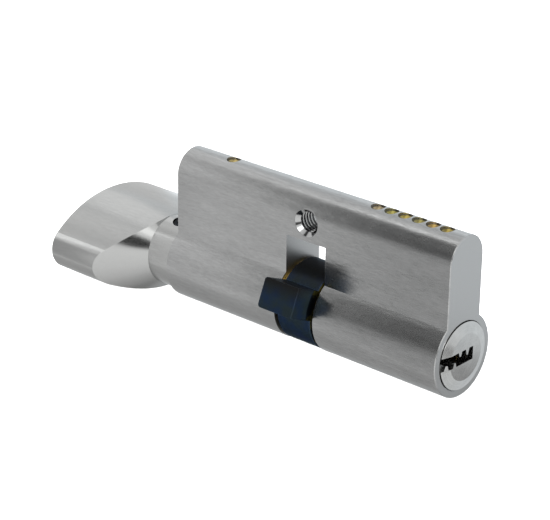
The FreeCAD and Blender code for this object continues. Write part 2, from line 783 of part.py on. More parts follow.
def draw_oval(sketch):
    """Draw the grip's oval: two wide arcs joined by two tight ones, tangent where they meet."""
    thick = size["knob_half_thickness"]
    edge = size["knob_edge_radius"]
    drop = size["knob_drop"]
    reach = size["knob_half_width"] - edge
    flank = (reach * reach + thick * thick - edge * edge) / ((thick - edge) * 2)
    rise = (flank - thick).value
    middle = -drop.value
    run = math.hypot(reach.value, rise)
    across = flank.value * reach.value / run
    up = flank.value * rise / run - rise
    corners = ((across, middle + up), (-across, middle + up), (-across, middle - up), (across, middle - up))
    centres = ((0.0, middle - rise), (-reach.value, middle), (0.0, middle + rise), (reach.value, middle))
    radii = (flank, edge, flank, edge)
    chain = []
    for step in range(4):
        chain.append(draw_arc(sketch, centres[step], corners[step], corners[(step + 1) % 4], radii[step]))
    for step in range(4):
        sketch.addConstraint(Sketcher.Constraint("Tangent", chain[step], 2, chain[(step + 1) % 4], 1))
    hold(sketch, chain[1], 3, (-reach, -drop))
    hold(sketch, chain[3], 3, (reach, -drop))


def draw_back_cut(sketch):
    """Draw the region turned away behind the grip, from the neck out over the domed back."""
    start = (size["neck_end"], size["neck_radius"])
    end = (size["dome_end"], size["dome_end_radius"])
    radius = size["dome_curve_radius"]
    beyond = size["knob_half_width"] + CLEAR_OF_GRIP
    ahead = size["neck_start"] + OVERCUT
    run = (end[0] - start[0]).value
    rise = (end[1] - start[1]).value
    chord = math.hypot(run, rise)
    depth = math.sqrt(radius.value ** 2 - (chord / 2) ** 2)
    middle = ((start[0] + end[0]) / 2, (start[1] + end[1]) / 2)
    centre = (middle[0].value - depth * rise / chord, middle[1].value + depth * run / chord)
    dome = draw_arc(sketch, centre, (start[0].value, start[1].value), (end[0].value, end[1].value), radius)
    corners = (end, (end[0], beyond), (ahead, beyond), (ahead, start[1]), start)
    points = [FreeCAD.Vector(u.value, v.value, 0) for u, v in corners]
    lines = [sketch.addGeometry(Part.LineSegment(points[n], points[n + 1])) for n in range(4)]
    sketch.addConstraint(Sketcher.Constraint("Coincident", dome, 2, lines[0], 1))
    for first, second in zip(lines, lines[1:]):
        sketch.addConstraint(Sketcher.Constraint("Coincident", first, 2, second, 1))
    sketch.addConstraint(Sketcher.Constraint("Coincident", lines[3], 2, dome, 1))
    for line, corner in zip(lines, corners):
        hold(sketch, line, 1, corner)
    hold(sketch, dome, 1, start)


def make_thumbturn():
    body = new_body("thumbturn_knob")
    oval = new_sketch(body, "grip_outline", "YZ_Plane", size["knob_end"])
    draw_oval(oval)
    pad(body, "grip", oval, size["neck_start"] - size["knob_end"])

    back = new_sketch(body, "back_cut_outline", "XZ_Plane")
    draw_back_cut(back)
    cut = body.newObject("PartDesign::Groove", "back_cut")
    cut.Profile = back
    cut.ReferenceAxis = (back, ["H_Axis"])
    cut.Angle = 360.0

    doc.recompute()
    far = size["knob_end"].value
    rim = edges_where(body.Tip.Shape, lambda edge: abs(edge.CenterOfMass.x - far) < 1e-6)
    edge_feature(body, "end_rounding", "Fillet", "Radius", rim, size["knob_end_fillet"])

    start = size["neck_start"]
    depth = start - size["knob_bore_end"]
    bored(body, "spigot_bore", size["knob_bore_radius"], start, depth, forward=False)
    middle = (size["grub_position"], 0.0)
    bored(body, "grub_hole", size["grub_hole_radius"], 0.0, THROUGH, middle, "XY_Plane")
    place(body, 0.0, size["knob_tilt"])
    return body


def make_grub_screw():
    """Headless screw that holds the thumbturn on its spigot, driven by a hexagon socket."""
    body = new_body("knob_grub_screw")
    radius = size["grub_radius"]
    outer = size["grub_outer_end"]
    tip = size["grub_tip"]
    bevel = size["grub_bevel"]
    corners = ((0.0, outer), (radius - bevel, outer), (radius, outer - bevel), (radius, tip + bevel),
               (radius - bevel, tip), (0.0, tip))
    turned(body, "grub_screw_turning", corners, axis="V_Axis")
    socket = new_sketch(body, "grub_socket_outline", "XY_Plane", outer)
    corner_radius = size["grub_socket_across_flats"] / math.sqrt(3.0)
    angles = [math.radians(60 * step) for step in range(6)]
    draw_outline(socket, [(corner_radius * math.cos(a), corner_radius * math.sin(a)) for a in angles])
    pocket(body, "grub_socket", socket, size["grub_socket_depth"], forward=False)
    place(body, size["grub_position"], size["knob_tilt"])
    return body


# ---------------------------------------------------------------------------------------------
# Assembly
# ---------------------------------------------------------------------------------------------

# Height of each key pin's tip when a matching key holds the stack at the shear line.
KEY_PIN_TIP_HEIGHTS = (0.9, 0.3, 0.65, 1.2, 0.0, 0.75)

nodes = [make_body(), make_key_plug(), make_turn_plug(), make_cam(), make_clutch()]
nodes.append(make_circlip("key_side_circlip", size["clip_near"]))
nodes.append(make_circlip("turn_side_circlip", -size["clip_near"] - size["clip_thickness"]))
nodes += [make_thumbturn(), make_grub_screw(), make_retainer_pin()]
nodes.append(make_chamber_plug("turn_chamber_plug", size["retainer_position"]))
nodes.append(make_pin_spring("turn_pin_spring", size["retainer_position"]))
for number in PIN_NUMBERS:
    position = pin_position(number)
    suffix = "_%d" % (number + 1)
    nodes.append(make_chamber_plug("chamber_plug" + suffix, position))
    nodes.append(make_driver_pin("driver_pin" + suffix, position))
    nodes.append(make_key_pin("key_pin" + suffix, position, KEY_PIN_TIP_HEIGHTS[number]))
    nodes.append(make_pin_spring("pin_spring" + suffix, position))
nodes.append(make_clutch_spring("clutch_spring"))

doc.recompute()
faults = [thing.Label for thing in doc.Objects if "Invalid" in thing.State or "Error" in thing.State]
for node in nodes:
    if node.Shape.isNull() or not node.Shape.isValid() or len(node.Shape.Solids) != 1:
        faults.append(node.Label + " is not one valid solid")
if faults:
    raise RuntimeError("failed: " + ", ".join(faults))

os.makedirs("parts", exist_ok=True)
for node in nodes:
    node.Shape.exportStep("parts/%s.step" % node.Label)
    print("%-20s %10.2f mm3" % (node.Label, node.Shape.Volume))
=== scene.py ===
import math

import bpy
from mathutils import Matrix, Vector


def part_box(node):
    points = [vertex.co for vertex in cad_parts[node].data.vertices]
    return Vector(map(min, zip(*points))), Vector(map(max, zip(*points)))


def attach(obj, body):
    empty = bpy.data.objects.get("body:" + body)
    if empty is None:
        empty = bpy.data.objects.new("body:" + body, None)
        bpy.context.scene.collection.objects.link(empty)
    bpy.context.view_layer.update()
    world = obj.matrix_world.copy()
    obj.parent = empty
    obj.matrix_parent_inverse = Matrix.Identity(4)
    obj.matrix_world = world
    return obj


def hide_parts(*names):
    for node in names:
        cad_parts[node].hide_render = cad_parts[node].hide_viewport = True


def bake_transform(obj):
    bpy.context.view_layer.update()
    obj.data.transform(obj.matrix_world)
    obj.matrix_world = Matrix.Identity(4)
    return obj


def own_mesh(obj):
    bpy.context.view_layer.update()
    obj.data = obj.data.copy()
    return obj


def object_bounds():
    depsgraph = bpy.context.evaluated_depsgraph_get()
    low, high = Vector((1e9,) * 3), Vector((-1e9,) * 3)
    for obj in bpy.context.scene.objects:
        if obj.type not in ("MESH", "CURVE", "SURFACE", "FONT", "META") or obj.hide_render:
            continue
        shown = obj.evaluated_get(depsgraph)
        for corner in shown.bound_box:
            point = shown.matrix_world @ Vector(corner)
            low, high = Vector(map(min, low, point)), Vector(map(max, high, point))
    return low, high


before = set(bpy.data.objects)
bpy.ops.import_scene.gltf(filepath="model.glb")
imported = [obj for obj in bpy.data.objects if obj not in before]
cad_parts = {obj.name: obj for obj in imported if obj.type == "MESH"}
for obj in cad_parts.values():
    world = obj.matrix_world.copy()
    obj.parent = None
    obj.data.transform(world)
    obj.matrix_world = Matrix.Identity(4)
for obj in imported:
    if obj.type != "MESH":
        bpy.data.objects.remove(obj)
cad_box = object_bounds()

scene = bpy.context.scene
scene.view_settings.view_transform = "Standard"

MM = 0.001


# ---------------------------------------------------------------------------------------------
# Camera: the viewing angle, distance and field of the reference view
# ---------------------------------------------------------------------------------------------

VIEW_AZIMUTH = math.radians(41.527)
VIEW_ELEVATION = math.radians(23.106)
VIEW_ROLL = math.radians(0.731)
VIEW_DISTANCE = 0.3928
VIEW_TARGET = Vector((-0.009157, -0.003678, 0.007786))
FOCAL_PIXELS = 1969.3
FRAME_WIDTH_PIXELS = 550.0
SENSOR_WIDTH = 36.0


def make_camera():
    data = bpy.data.cameras.new("camera")
    data.sensor_width = SENSOR_WIDTH
    data.sensor_fit = "HORIZONTAL"
    data.lens = FOCAL_PIXELS / FRAME_WIDTH_PIXELS * SENSOR_WIDTH
    data.clip_start = 0.01
    data.clip_end = 20.0
    camera = bpy.data.objects.new("camera", data)
    scene.collection.objects.link(camera)
    flat = math.cos(VIEW_ELEVATION)
    back = Vector((
        math.sin(VIEW_AZIMUTH) * flat, -math.cos(VIEW_AZIMUTH) * flat, math.sin(VIEW_ELEVATION)))
    right = Vector((0, 0, 1)).cross(back).normalized()
    up = back.cross(right)
    turn = Matrix.Rotation(VIEW_ROLL, 3, back)
    right, up = turn @ right, turn @ up
    place = Matrix((right, up, back)).transposed().to_4x4()
    place.translation = VIEW_TARGET + back * VIEW_DISTANCE
    camera.matrix_world = place
    scene.camera = camera


make_camera()


# ---------------------------------------------------------------------------------------------
# Node helpers
# ---------------------------------------------------------------------------------------------

class Nodes:
    """A node tree, with short ways to add and wire its nodes. A value passed between the
    methods is either a constant or a (node, output) pair."""

    def __init__(self, tree):
        self.tree = tree
        self.tree.nodes.clear()
        self.place = self.add("ShaderNodeTexCoord")

    def add(self, kind):
        return self.tree.nodes.new(kind)

    def wire(self, source, target, socket):
        """Feed a socket from another node's output, or set it to a constant."""
        if isinstance(source, tuple) and isinstance(source[0], bpy.types.Node):
            self.tree.links.new(source[0].outputs[source[1]], target.inputs[socket])
        elif isinstance(source, tuple) and target.inputs[socket].type == "RGBA":
            target.inputs[socket].default_value = (*source, 1.0)
        else:
            target.inputs[socket].default_value = source

    def position(self, scale=(1, 1, 1), turn=(0, 0, 0)):
        """The point's place in the row frame, turned and then scaled."""
        mapping = self.add("ShaderNodeMapping")
        mapping.inputs["Rotation"].default_value = [math.radians(angle) for angle in turn]
        mapping.inputs["Scale"].default_value = scale
        self.wire((self.place, "Object"), mapping, "Vector")
        return mapping, "Vector"

    def noise(self, where, detail, roughness):
        node = self.add("ShaderNodeTexNoise")
        node.inputs["Scale"].default_value = 1.0
        node.inputs["Detail"].default_value = detail
        node.inputs["Roughness"].default_value = roughness
        self.wire(where, node, "Vector")
        return node, "Fac"

    def math(self, operation, first, second=0.0):
        node = self.add("ShaderNodeMath")
        node.operation = operation
        self.wire(first, node, 0)
        self.wire(second, node, 1)
        return node, "Value"

    def vector(self, operation, first, second=(0.0, 0.0, 0.0)):
        node = self.add("ShaderNodeVectorMath")
        node.operation = operation
        self.wire(first, node, 0)
        self.wire(second, node, 1)
        return node, "Value" if operation in ("DOT_PRODUCT", "LENGTH") else "Vector"

    def total(self, *terms):
        """The sum of (value, weight) terms."""
        result = 0.0
        for value, weight in terms:
            node = self.add("ShaderNodeMath")
            node.operation = "MULTIPLY_ADD"
            for socket, source in enumerate((value, weight, result)):
                self.wire(source, node, socket)
            result = (node, "Value")
        return result

    def split(self, source):
        node = self.add("ShaderNodeSeparateXYZ")
        self.wire(source, node, "Vector")
        return (node, "X"), (node, "Y"), (node, "Z")

    def join(self, x, y, z):
        node = self.add("ShaderNodeCombineXYZ")
        for socket, value in (("X", x), ("Y", y), ("Z", z)):
            self.wire(value, node, socket)
        return node, "Vector"

    def remap(self, value, low, high, to_low=0.0, to_high=1.0, smooth=False):
        node = self.add("ShaderNodeMapRange")
        node.interpolation_type = "SMOOTHSTEP" if smooth else "LINEAR"
        numbers = (("From Min", low), ("From Max", high), ("To Min", to_low), ("To Max", to_high))
        for socket, number in numbers:
            node.inputs[socket].default_value = number
        self.wire(value, node, "Value")
        return node, "Result"

    def ramp(self, value, stops):
        """A grey level that goes through the given (position, level) stops."""
        node = self.add("ShaderNodeValToRGB")
        elements = node.color_ramp.elements
        while len(elements) < len(stops):
            elements.new(0.5)
        for element, (position, level) in zip(elements, stops):
            element.position = position
            element.color = (level, level, level, 1.0)
        self.wire(value, node, "Fac")
        return node, "Color"

    def blend(self, factor, first, second):
        """Blend two numbers."""
        node = self.add("ShaderNodeMix")
        for socket, value in ((0, factor), (2, first), (3, second)):
            self.wire(value, node, socket)
        return node, 0

    def mix(self, factor, first, second):
        """Blend two colours."""
        node = self.add("ShaderNodeMix")
        node.data_type = "RGBA"
        self.wire(factor, node, 0)
        self.wire(first, node, 6)
        self.wire(second, node, 7)
        return node, 2


class Finish(Nodes):
    """A metal material: a Principled shader and the nodes that feed it."""

    def __init__(self, name, metallic=1.0):
        self.material = bpy.data.materials.new(name)
        self.material.use_nodes = True
        super().__init__(self.material.node_tree)
        self.shader = self.add("ShaderNodeBsdfPrincipled")
        self.shader.inputs["Metallic"].default_value = metallic
        output = self.add("ShaderNodeOutputMaterial")
        self.wire((self.shader, "BSDF"), output, "Surface")

    def colour(self, source):
        self.wire(source, self.shader, "Base Color")

    def rough(self, source):
        self.wire(source, self.shader, "Roughness")

    def bump(self, height, strength, distance):
        node = self.add("ShaderNodeBump")
        node.inputs["Strength"].default_value = strength
        node.inputs["Distance"].default_value = distance
        self.wire(height, node, "Height")
        self.wire((node, "Normal"), self.shader, "Normal")

    def facing(self, axis):
        """1 where the surface faces along the axis, either way, and 0 where it doesn't."""
        along = self.split((self.place, "Normal"))[axis]
        return self.remap(self.math("ABSOLUTE", along), 0.9, 0.97)

    def edges(self, radius):
        """1 on sharp outer and inner edges, fading out over the radius."""
        rounded = self.add("ShaderNodeBevel")
        rounded.samples = 4
        rounded.inputs["Radius"].default_value = radius
        flat = self.add("ShaderNodeNewGeometry")
        agree = self.vector("DOT_PRODUCT", (rounded, "Normal"), (flat, "Normal"))
        return self.remap(agree, 0.88, 0.995, 1.0, 0.0)

    def distance_from_axis(self, axis, centre=(0.0, 0.0, 0.0)):
        """How far the point is from a line along the axis through the centre."""
        offset = self.vector("SUBTRACT", (self.place, "Object"), centre)
        across = [1.0, 1.0, 1.0]
        across[axis] = 0.0
        return self.vector("LENGTH", self.vector("MULTIPLY", offset, tuple(across)))


# ---------------------------------------------------------------------------------------------
# Materials
# ---------------------------------------------------------------------------------------------

# Places on the metal where its finish changes
SLOT_HALF_WIDTH = 5 * MM
SLOT_CEILING = 14.85 * MM
SCREW_HEIGHT = 18.7 * MM
HOLE_MOUTH_RADIUS = 2.95 * MM
CAM_HALF_WIDTH = 4.35 * MM
# The cam's end faces get painted shade out to this radius.
ROOT_SHADE_RADIUS = 9.8 * MM

NICKEL = (0.495, 0.50, 0.50)
KNOB_NICKEL = (0.535, 0.54, 0.535)
PLUG_NICKEL = (0.62, 0.62, 0.61)
PLAIN_BRASS = (0.60, 0.43, 0.16)
PIN_BRASS = (0.66, 0.47, 0.18)
CLIP_BRONZE = (0.85, 0.55, 0.12)
CAM_OXIDE = (0.022, 0.033, 0.052)
PIN_STEEL = (0.42, 0.42, 0.43)
SCREW_STEEL = (0.035, 0.035, 0.038)
WIRE_STEEL = (0.48, 0.47, 0.46)
# The brass of each chamber plug is tarnished a little differently. Plug 1 is the nearest to the cam.
PLUG_TINTS = (
    (0.50, 0.40, 0.24), (0.46, 0.40, 0.12), (0.52, 0.41, 0.12),
    (0.48, 0.41, 0.15), (0.56, 0.38, 0.13), (0.52, 0.40, 0.12),
)
TURN_PLUG_TINT = (0.55, 0.43, 0.18)
# Painted shade and highlight: how light a chamber plug is, from its centre (0) to its rim (1), darker
# in the dimple and in a ring inside the rim, lighter on the rim itself
PLUG_PAINTED_SHADE = ((0.0, 0.55), (0.14, 0.6), (0.2, 1.0), (0.66, 1.0), (0.78, 0.35), (0.93, 0.28), (1.0, 0.5))


def shade(colour, factor):
    return tuple(min(1.0, channel * factor) for channel in colour)


def brushed_nickel(name, colour, roughness, slant, edge_wear_and_highlight, contrast=1.0, waviness=1.0):
    """Satin nickel plate: short brush streaks along X over slight waves, plainer end faces, and edges
    lightened in patches, partly from rubbing and partly as painted highlight. Returns its finish,
    colour, roughness and height, for the caller to add to."""
    finish = Finish(name)
    turn = (0, slant, 0)
    lines = finish.noise(finish.position((620, 4600, 4600), turn), 3.0, 0.65)
    streaks = finish.noise(finish.position((330, 1700, 1700), turn), 3.0, 0.6)
    hairs = finish.noise(finish.position((200, 13000, 13000), turn), 2.0, 0.5)
    waves = finish.noise(finish.position((190, 760, 760), turn), 3.0, 0.5)
    clouds = finish.noise(finish.position((60, 260, 260)), 2.0, 0.5)
    grain = finish.noise(finish.position((5200, 5200, 5200)), 3.0, 0.6)
    end = finish.facing(0)

    tone = finish.total((lines, 0.45), (streaks, 0.3), (clouds, 0.25), (0.5, -1.0))
    # The streaks stand out more on the key side.
    strength = finish.remap(finish.split((finish.place, "Object"))[0], 0.0, 15 * MM, 1.0, 1.9)
    tone = finish.total((tone, strength), (0.5, 1.0))
    side_colour = finish.mix(finish.remap(tone, 0.34, 0.66), shade(colour, 1.0 - 0.12 * contrast),
                             shade(colour, 1.0 + 0.12 * contrast))
    end_colour = finish.mix(finish.remap(grain, 0.3, 0.7), shade(colour, 1.02), shade(colour, 1.12))
    plated = finish.mix(end, side_colour, end_colour)
    # Edges lightened in patches, partly from rubbing and partly as painted highlight.
    patchy = finish.remap(clouds, 0.35, 0.6, 0.3 * edge_wear_and_highlight, edge_wear_and_highlight)
    worn_and_highlit_edges = finish.math("MULTIPLY", finish.edges(0.22 * MM), patchy)
    plated = finish.mix(worn_and_highlit_edges, plated, shade(colour, 1.35))

    side_rough = finish.remap(tone, 0.3, 0.7, roughness + 0.04, roughness - 0.03)
    end_rough = finish.remap(grain, 0.3, 0.7, roughness + 0.12, roughness + 0.04)
    rough = finish.blend(end, side_rough, end_rough)

    relief = finish.total((lines, 0.5), (hairs, 0.4), (waves, 12.0 * waviness), (streaks, 1.5 * waviness))
    height = finish.blend(end, relief, finish.math("MULTIPLY", grain, 0.25))
    return finish, plated, rough, height


def finish_nickel(finish, colour, rough, height):
    finish.colour(colour)
    finish.rough(rough)
    finish.bump(height, 0.22, 0.02 * MM)
    return finish.material


def body_nickel(name, colour, roughness):
    """The body's brushed nickel, with machined metal in the threaded hole, where it is bright, and
    in the cam slot, where it is dull."""
    finish, plated, rough, height = brushed_nickel(name, colour, roughness, slant=2.0, edge_wear_and_highlight=0.3)
    screw = finish.distance_from_axis(1, (0.0, 0.0, SCREW_HEIGHT))
    hole = finish.remap(screw, HOLE_MOUTH_RADIUS, HOLE_MOUTH_RADIUS - 0.06 * MM)
    x, _, z = finish.split((finish.place, "Object"))
    between = finish.remap(
        finish.math("ABSOLUTE", x), SLOT_HALF_WIDTH + 0.04 * MM, SLOT_HALF_WIDTH + 0.01 * MM)
    below = finish.remap(z, SLOT_CEILING + 0.03 * MM, SLOT_CEILING + 0.01 * MM)
    machined = finish.math("MAXIMUM", hole, finish.math("MULTIPLY", between, below))
    cut = finish.noise(finish.position((4000, 9000, 4000)), 2.0, 0.5)
    bare = finish.mix(cut, shade(colour, 0.95), shade(colour, 1.2))
    plated = finish.mix(machined, plated, bare)
    rough = finish.blend(machined, rough, finish.blend(hole, 0.36, 0.13))
    height = finish.math("MULTIPLY", height, finish.math("SUBTRACT", 1.0, machined))
    return finish_nickel(finish, plated, rough, height)


def knob_nickel(name, colour, roughness):
    """The knob's nickel: brush lines along the grip, and smoother metal on the dome, the part of it
    that slopes towards the body."""
    finish, plated, rough, height = brushed_nickel(
        name, colour, roughness, slant=-1.0, edge_wear_and_highlight=0.9, contrast=0.5, waviness=0.35)
    turned = finish.remap(finish.split((finish.place, "Normal"))[0], 0.12, 0.3)
    satin = finish.noise(finish.position((1200, 3600, 3600)), 3.0, 0.6)
    smooth = finish.mix(finish.remap(satin, 0.35, 0.65), shade(colour, 0.985), shade(colour, 1.03))
    plated = finish.mix(turned, plated, smooth)
    rough = finish.blend(turned, rough, finish.remap(satin, 0.3, 0.7, 0.13, 0.18))
    height = finish.blend(turned, height, finish.math("MULTIPLY", satin, 0.05))
    return finish_nickel(finish, plated, rough, height)


def turned_metal(name, colour, roughness, axis, centre=(0.0, 0.0, 0.0), pitch=0.09 * MM):
    """Lathe-turned metal: fine rings round an axis, broken up by grain, with painted highlight on its
    edges.
    """
    finish = Finish(name)
    distance = finish.distance_from_axis(axis, centre)
    along = finish.split((finish.place, "Object"))[axis]
    path = finish.join(finish.math("DIVIDE", distance, pitch), finish.math("DIVIDE", along, pitch), 0.0)
    rings = finish.noise(path, 2.0, 0.55)
    grain = finish.noise(finish.position((2600, 2600, 2600)), 3.0, 0.6)
    clouds = finish.noise(finish.position((420, 420, 420)), 2.0, 0.5)
    tone = finish.math("ADD", finish.math("MULTIPLY", rings, 0.45), finish.math("MULTIPLY", clouds, 0.55))
    base = finish.mix(finish.remap(tone, 0.3, 0.7), shade(colour, 0.86), shade(colour, 1.12))
    # Painted highlight on the edges.
    finish.colour(finish.mix(finish.edges(0.12 * MM), base, shade(colour, 1.3)))
    finish.rough(finish.remap(grain, 0.3, 0.7, roughness - 0.04, roughness + 0.05))
    height = finish.math("ADD", finish.math("MULTIPLY", rings, 0.7), finish.math("MULTIPLY", grain, 0.3))
    finish.bump(height, 0.2, 0.012 * MM)
    return finish.material


def blackened_steel(name, colour, roughness, hub=False):
    """Sintered steel with a blue-black oxide: mottled, with a fine grain and edges lightened partly
    from rubbing and partly as painted highlight, and painted shade, a darker black without the blue,
    towards the top. On a hub, painted shade with olive glints darkens the end faces out to a radius
    that takes in the root of its tab."""
    finish = Finish(name, 0.85)
    mottle = finish.noise(finish.position((330, 330, 330)), 3.0, 0.55)
    grain = finish.noise(finish.position((6500, 6500, 6500)), 3.0, 0.65)
    bluer = (colour[0] * 0.8, colour[1], colour[2] * 1.3)
    greener = (colour[0] * 1.15, colour[1] * 1.15, colour[2] * 0.85)
    base = finish.mix(finish.remap(mottle, 0.38, 0.62), greener, bluer)
    height = finish.split((finish.place, "Object"))[2]
    # Painted shade: darker and without the blue towards the top.
    painted_top_shade = shade((colour[1], colour[1], colour[1] * 1.02), 0.55)
    base = finish.mix(finish.remap(height, 5.0 * MM, 8.0 * MM), base, painted_top_shade)
    # Edges lightened in patches, partly from rubbing and partly as painted highlight.
    rubbed_and_highlit_edges = finish.math("MULTIPLY", finish.edges(0.18 * MM), finish.remap(mottle, 0.35, 0.65, 0.1, 0.55))
    base = finish.mix(rubbed_and_highlit_edges, base, shade(colour, 5.0))
    # On a hub, painted shade, near black with painted olive glints, darkens the end faces round the tab's
    # root.
    if hub:
        x = finish.split((finish.place, "Object"))[0]
        beside = finish.remap(
            finish.math("ABSOLUTE", x), CAM_HALF_WIDTH - 0.2 * MM, CAM_HALF_WIDTH - 0.08 * MM)
        inside = finish.remap(
            finish.distance_from_axis(0), ROOT_SHADE_RADIUS + 0.08 * MM, ROOT_SHADE_RADIUS - 0.08 * MM)
        painted_root_shade = finish.math("MULTIPLY", beside, inside)
        painted_root_shade_colour = finish.mix(finish.remap(mottle, 0.5, 0.6), shade(colour, 0.12), (0.05, 0.045, 0.01))
        base = finish.mix(painted_root_shade, base, painted_root_shade_colour)
    finish.colour(base)
    finish.rough(finish.remap(grain, 0.3, 0.7, roughness - 0.05, roughness + 0.08))
    finish.shader.inputs["Specular Tint"].default_value = (0.3, 0.36, 0.4, 1.0)
    finish.bump(grain, 0.22, 0.012 * MM)
    return finish.material


def drawn_wire(name, colour, roughness):
    """Spring wire: bright drawn steel with faint lengthwise marks and a mottled tint."""
    finish = Finish(name)
    mottle = finish.noise(finish.position((900, 900, 900)), 3.0, 0.55)
    marks = finish.noise(finish.position((9000, 9000, 2500)), 2.0, 0.6)
    finish.colour(finish.mix(finish.remap(mottle, 0.35, 0.65), shade(colour, 0.8), shade(colour, 1.15)))
    finish.rough(finish.remap(marks, 0.3, 0.7, roughness - 0.06, roughness + 0.06))
    finish.bump(marks, 0.15, 0.006 * MM)
    return finish.material


def centre_of(node):
    low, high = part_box(node)
    return tuple((low + high) / 2)


def chamber_brass(node, tint, swirl):
    """A chamber plug's turned brass, with painted shade near its rim and in its dimpled middle, and a
    painted highlight streak across it.
    """
    finish = Finish(node + "_brass")
    centre = centre_of(node)
    radius = (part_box(node)[1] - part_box(node)[0]).x / 2
    distance = finish.distance_from_axis(2, centre)
    out = finish.math("DIVIDE", distance, radius)
    rings = finish.noise(finish.join(finish.math("MULTIPLY", out, 11.0), 0.0, swirl), 2.0, 0.6)
    mottle = finish.noise(finish.vector("ADD", finish.position((900, 900, 900)), (swirl, 0, 0)), 3.0, 0.6)
    # Painted highlight: a bright streak across the plug.
    offset = finish.vector("SUBTRACT", (finish.place, "Object"), centre)
    x, y, _ = finish.split(offset)
    lean = finish.math("MULTIPLY", y, 0.35)
    across = finish.math("ABSOLUTE", finish.math("ADD", x, lean))
    streak = finish.remap(across, 0.1 * MM, 0.5 * MM, 1.0, 0.0, True)
    dull = finish.mix(finish.remap(mottle, 0.35, 0.65), shade(tint, 0.5), shade(tint, 1.0))
    painted_gleam = finish.math("MULTIPLY", streak, finish.remap(rings, 0.3, 0.6))
    with_painted_gleam = finish.mix(painted_gleam, dull, shade(tint, 1.6))
    # Painted shade in the dimple and inside the rim, painted highlight on the rim.
    rim = finish.ramp(out, PLUG_PAINTED_SHADE)
    finish.colour(finish.vector("MULTIPLY", with_painted_gleam, rim))
    finish.rough(finish.remap(mottle, 0.3, 0.7, 0.14, 0.24))
    finish.bump(rings, 0.4, 0.02 * MM)
    return finish.material


def pin_metal(node, colour):
    return turned_metal(node + "_metal", colour, 0.25, axis=2, centre=centre_of(node), pitch=0.12 * MM)


def dress(node, material):
    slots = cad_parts[node].data.materials
    slots.clear()
    slots.append(material)


def dress_all():
    dress("cylinder_body", body_nickel("satin_nickel_body", NICKEL, 0.24))
    dress("thumbturn_knob", knob_nickel("satin_nickel_knob", KNOB_NICKEL, 0.2))
    dress("key_plug", turned_metal("polished_nickel_plug", PLUG_NICKEL, 0.17, axis=0))
    dress("turn_plug", turned_metal("plain_turned_brass", PLAIN_BRASS, 0.3, axis=0))
    dress("cam", blackened_steel("blackened_cam_steel", CAM_OXIDE, 0.34, hub=True))
    dress("clutch", turned_metal("hardened_clutch_steel", PIN_STEEL, 0.32, axis=0))
    bronze = turned_metal("spring_bronze", CLIP_BRONZE, 0.24, axis=0, pitch=0.2 * MM)
    dress("key_side_circlip", bronze)
    dress("turn_side_circlip", bronze)
    dress("knob_grub_screw", blackened_steel("black_screw_steel", SCREW_STEEL, 0.38))
    dress("turn_chamber_plug", chamber_brass("turn_chamber_plug", TURN_PLUG_TINT, 0.0))
    dress("turn_retaining_pin", pin_metal("turn_retaining_pin", PIN_STEEL))
    for number, tint in enumerate(PLUG_TINTS, start=1):
        dress("chamber_plug_%d" % number, chamber_brass("chamber_plug_%d" % number, tint, number * 1.7))
        dress("driver_pin_%d" % number, pin_metal("driver_pin_%d" % number, PIN_STEEL))
        dress("key_pin_%d" % number, pin_metal("key_pin_%d" % number, PIN_BRASS))


dress_all()


# ---------------------------------------------------------------------------------------------
# Springs: coils with closed ends, set in the boxes of the CAD springs
# ---------------------------------------------------------------------------------------------

PIN_SPRING_WIRE = 0.14 * MM
CLUTCH_SPRING_WIRE = 0.2 * MM
PIN_SPRING_TURNS = 9.0
CLUTCH_SPRING_TURNS = 6.0
WIRE_SIDES = 10
STEPS_PER_TURN = 28
END_TURNS = 1.25
CLOSED_PITCH_IN_WIRE_RADII = 2.1


def coil_line(radius, wire, length, turns):
    """Points of a coil about Z from 0 to length: its end turns lie closed and the rest are open."""
    steps = int(turns * STEPS_PER_TURN)
    closed_pitch = wire * CLOSED_PITCH_IN_WIRE_RADII
    open_turns = turns - 2 * END_TURNS
    open_pitch = (length - 2 * wire - 2 * END_TURNS * closed_pitch) / open_turns
    points = []
    height = wire
    for step in range(steps + 1):
        turn = step / STEPS_PER_TURN
        angle = 2 * math.pi * turn
        points.append(Vector((radius * math.cos(angle), radius * math.sin(angle), height)))
        near_end = turn < END_TURNS or turn >= turns - END_TURNS
        height += (closed_pitch if near_end else open_pitch) / STEPS_PER_TURN
    return points


def wire_mesh(name, points, wire):
    """A round wire along the points, closed at both ends."""
    vertices = []
    faces = []
    last = len(points) - 1
    for step, point in enumerate(points):
        ahead = (points[min(step + 1, last)] - points[max(step - 1, 0)]).normalized()
        outward = Vector((point.x, point.y, 0)).normalized()
        across = ahead.cross(outward).normalized()
        outward = across.cross(ahead)
        for side in range(WIRE_SIDES):
            angle = 2 * math.pi * side / WIRE_SIDES
            vertices.append(point + (outward * math.cos(angle) + across * math.sin(angle)) * wire)
    for step in range(last):
        for side in range(WIRE_SIDES):
            start = step * WIRE_SIDES
            following = (side + 1) % WIRE_SIDES
            faces.append((start + side, start + following,
                          start + WIRE_SIDES + following, start + WIRE_SIDES + side))
    faces.append(tuple(reversed(range(WIRE_SIDES))))
    faces.append(tuple(range(last * WIRE_SIDES, (last + 1) * WIRE_SIDES)))
    mesh = bpy.data.meshes.new(name)
    mesh.from_pydata([tuple(vertex) for vertex in vertices], [], faces)
    mesh.shade_smooth()
    return mesh


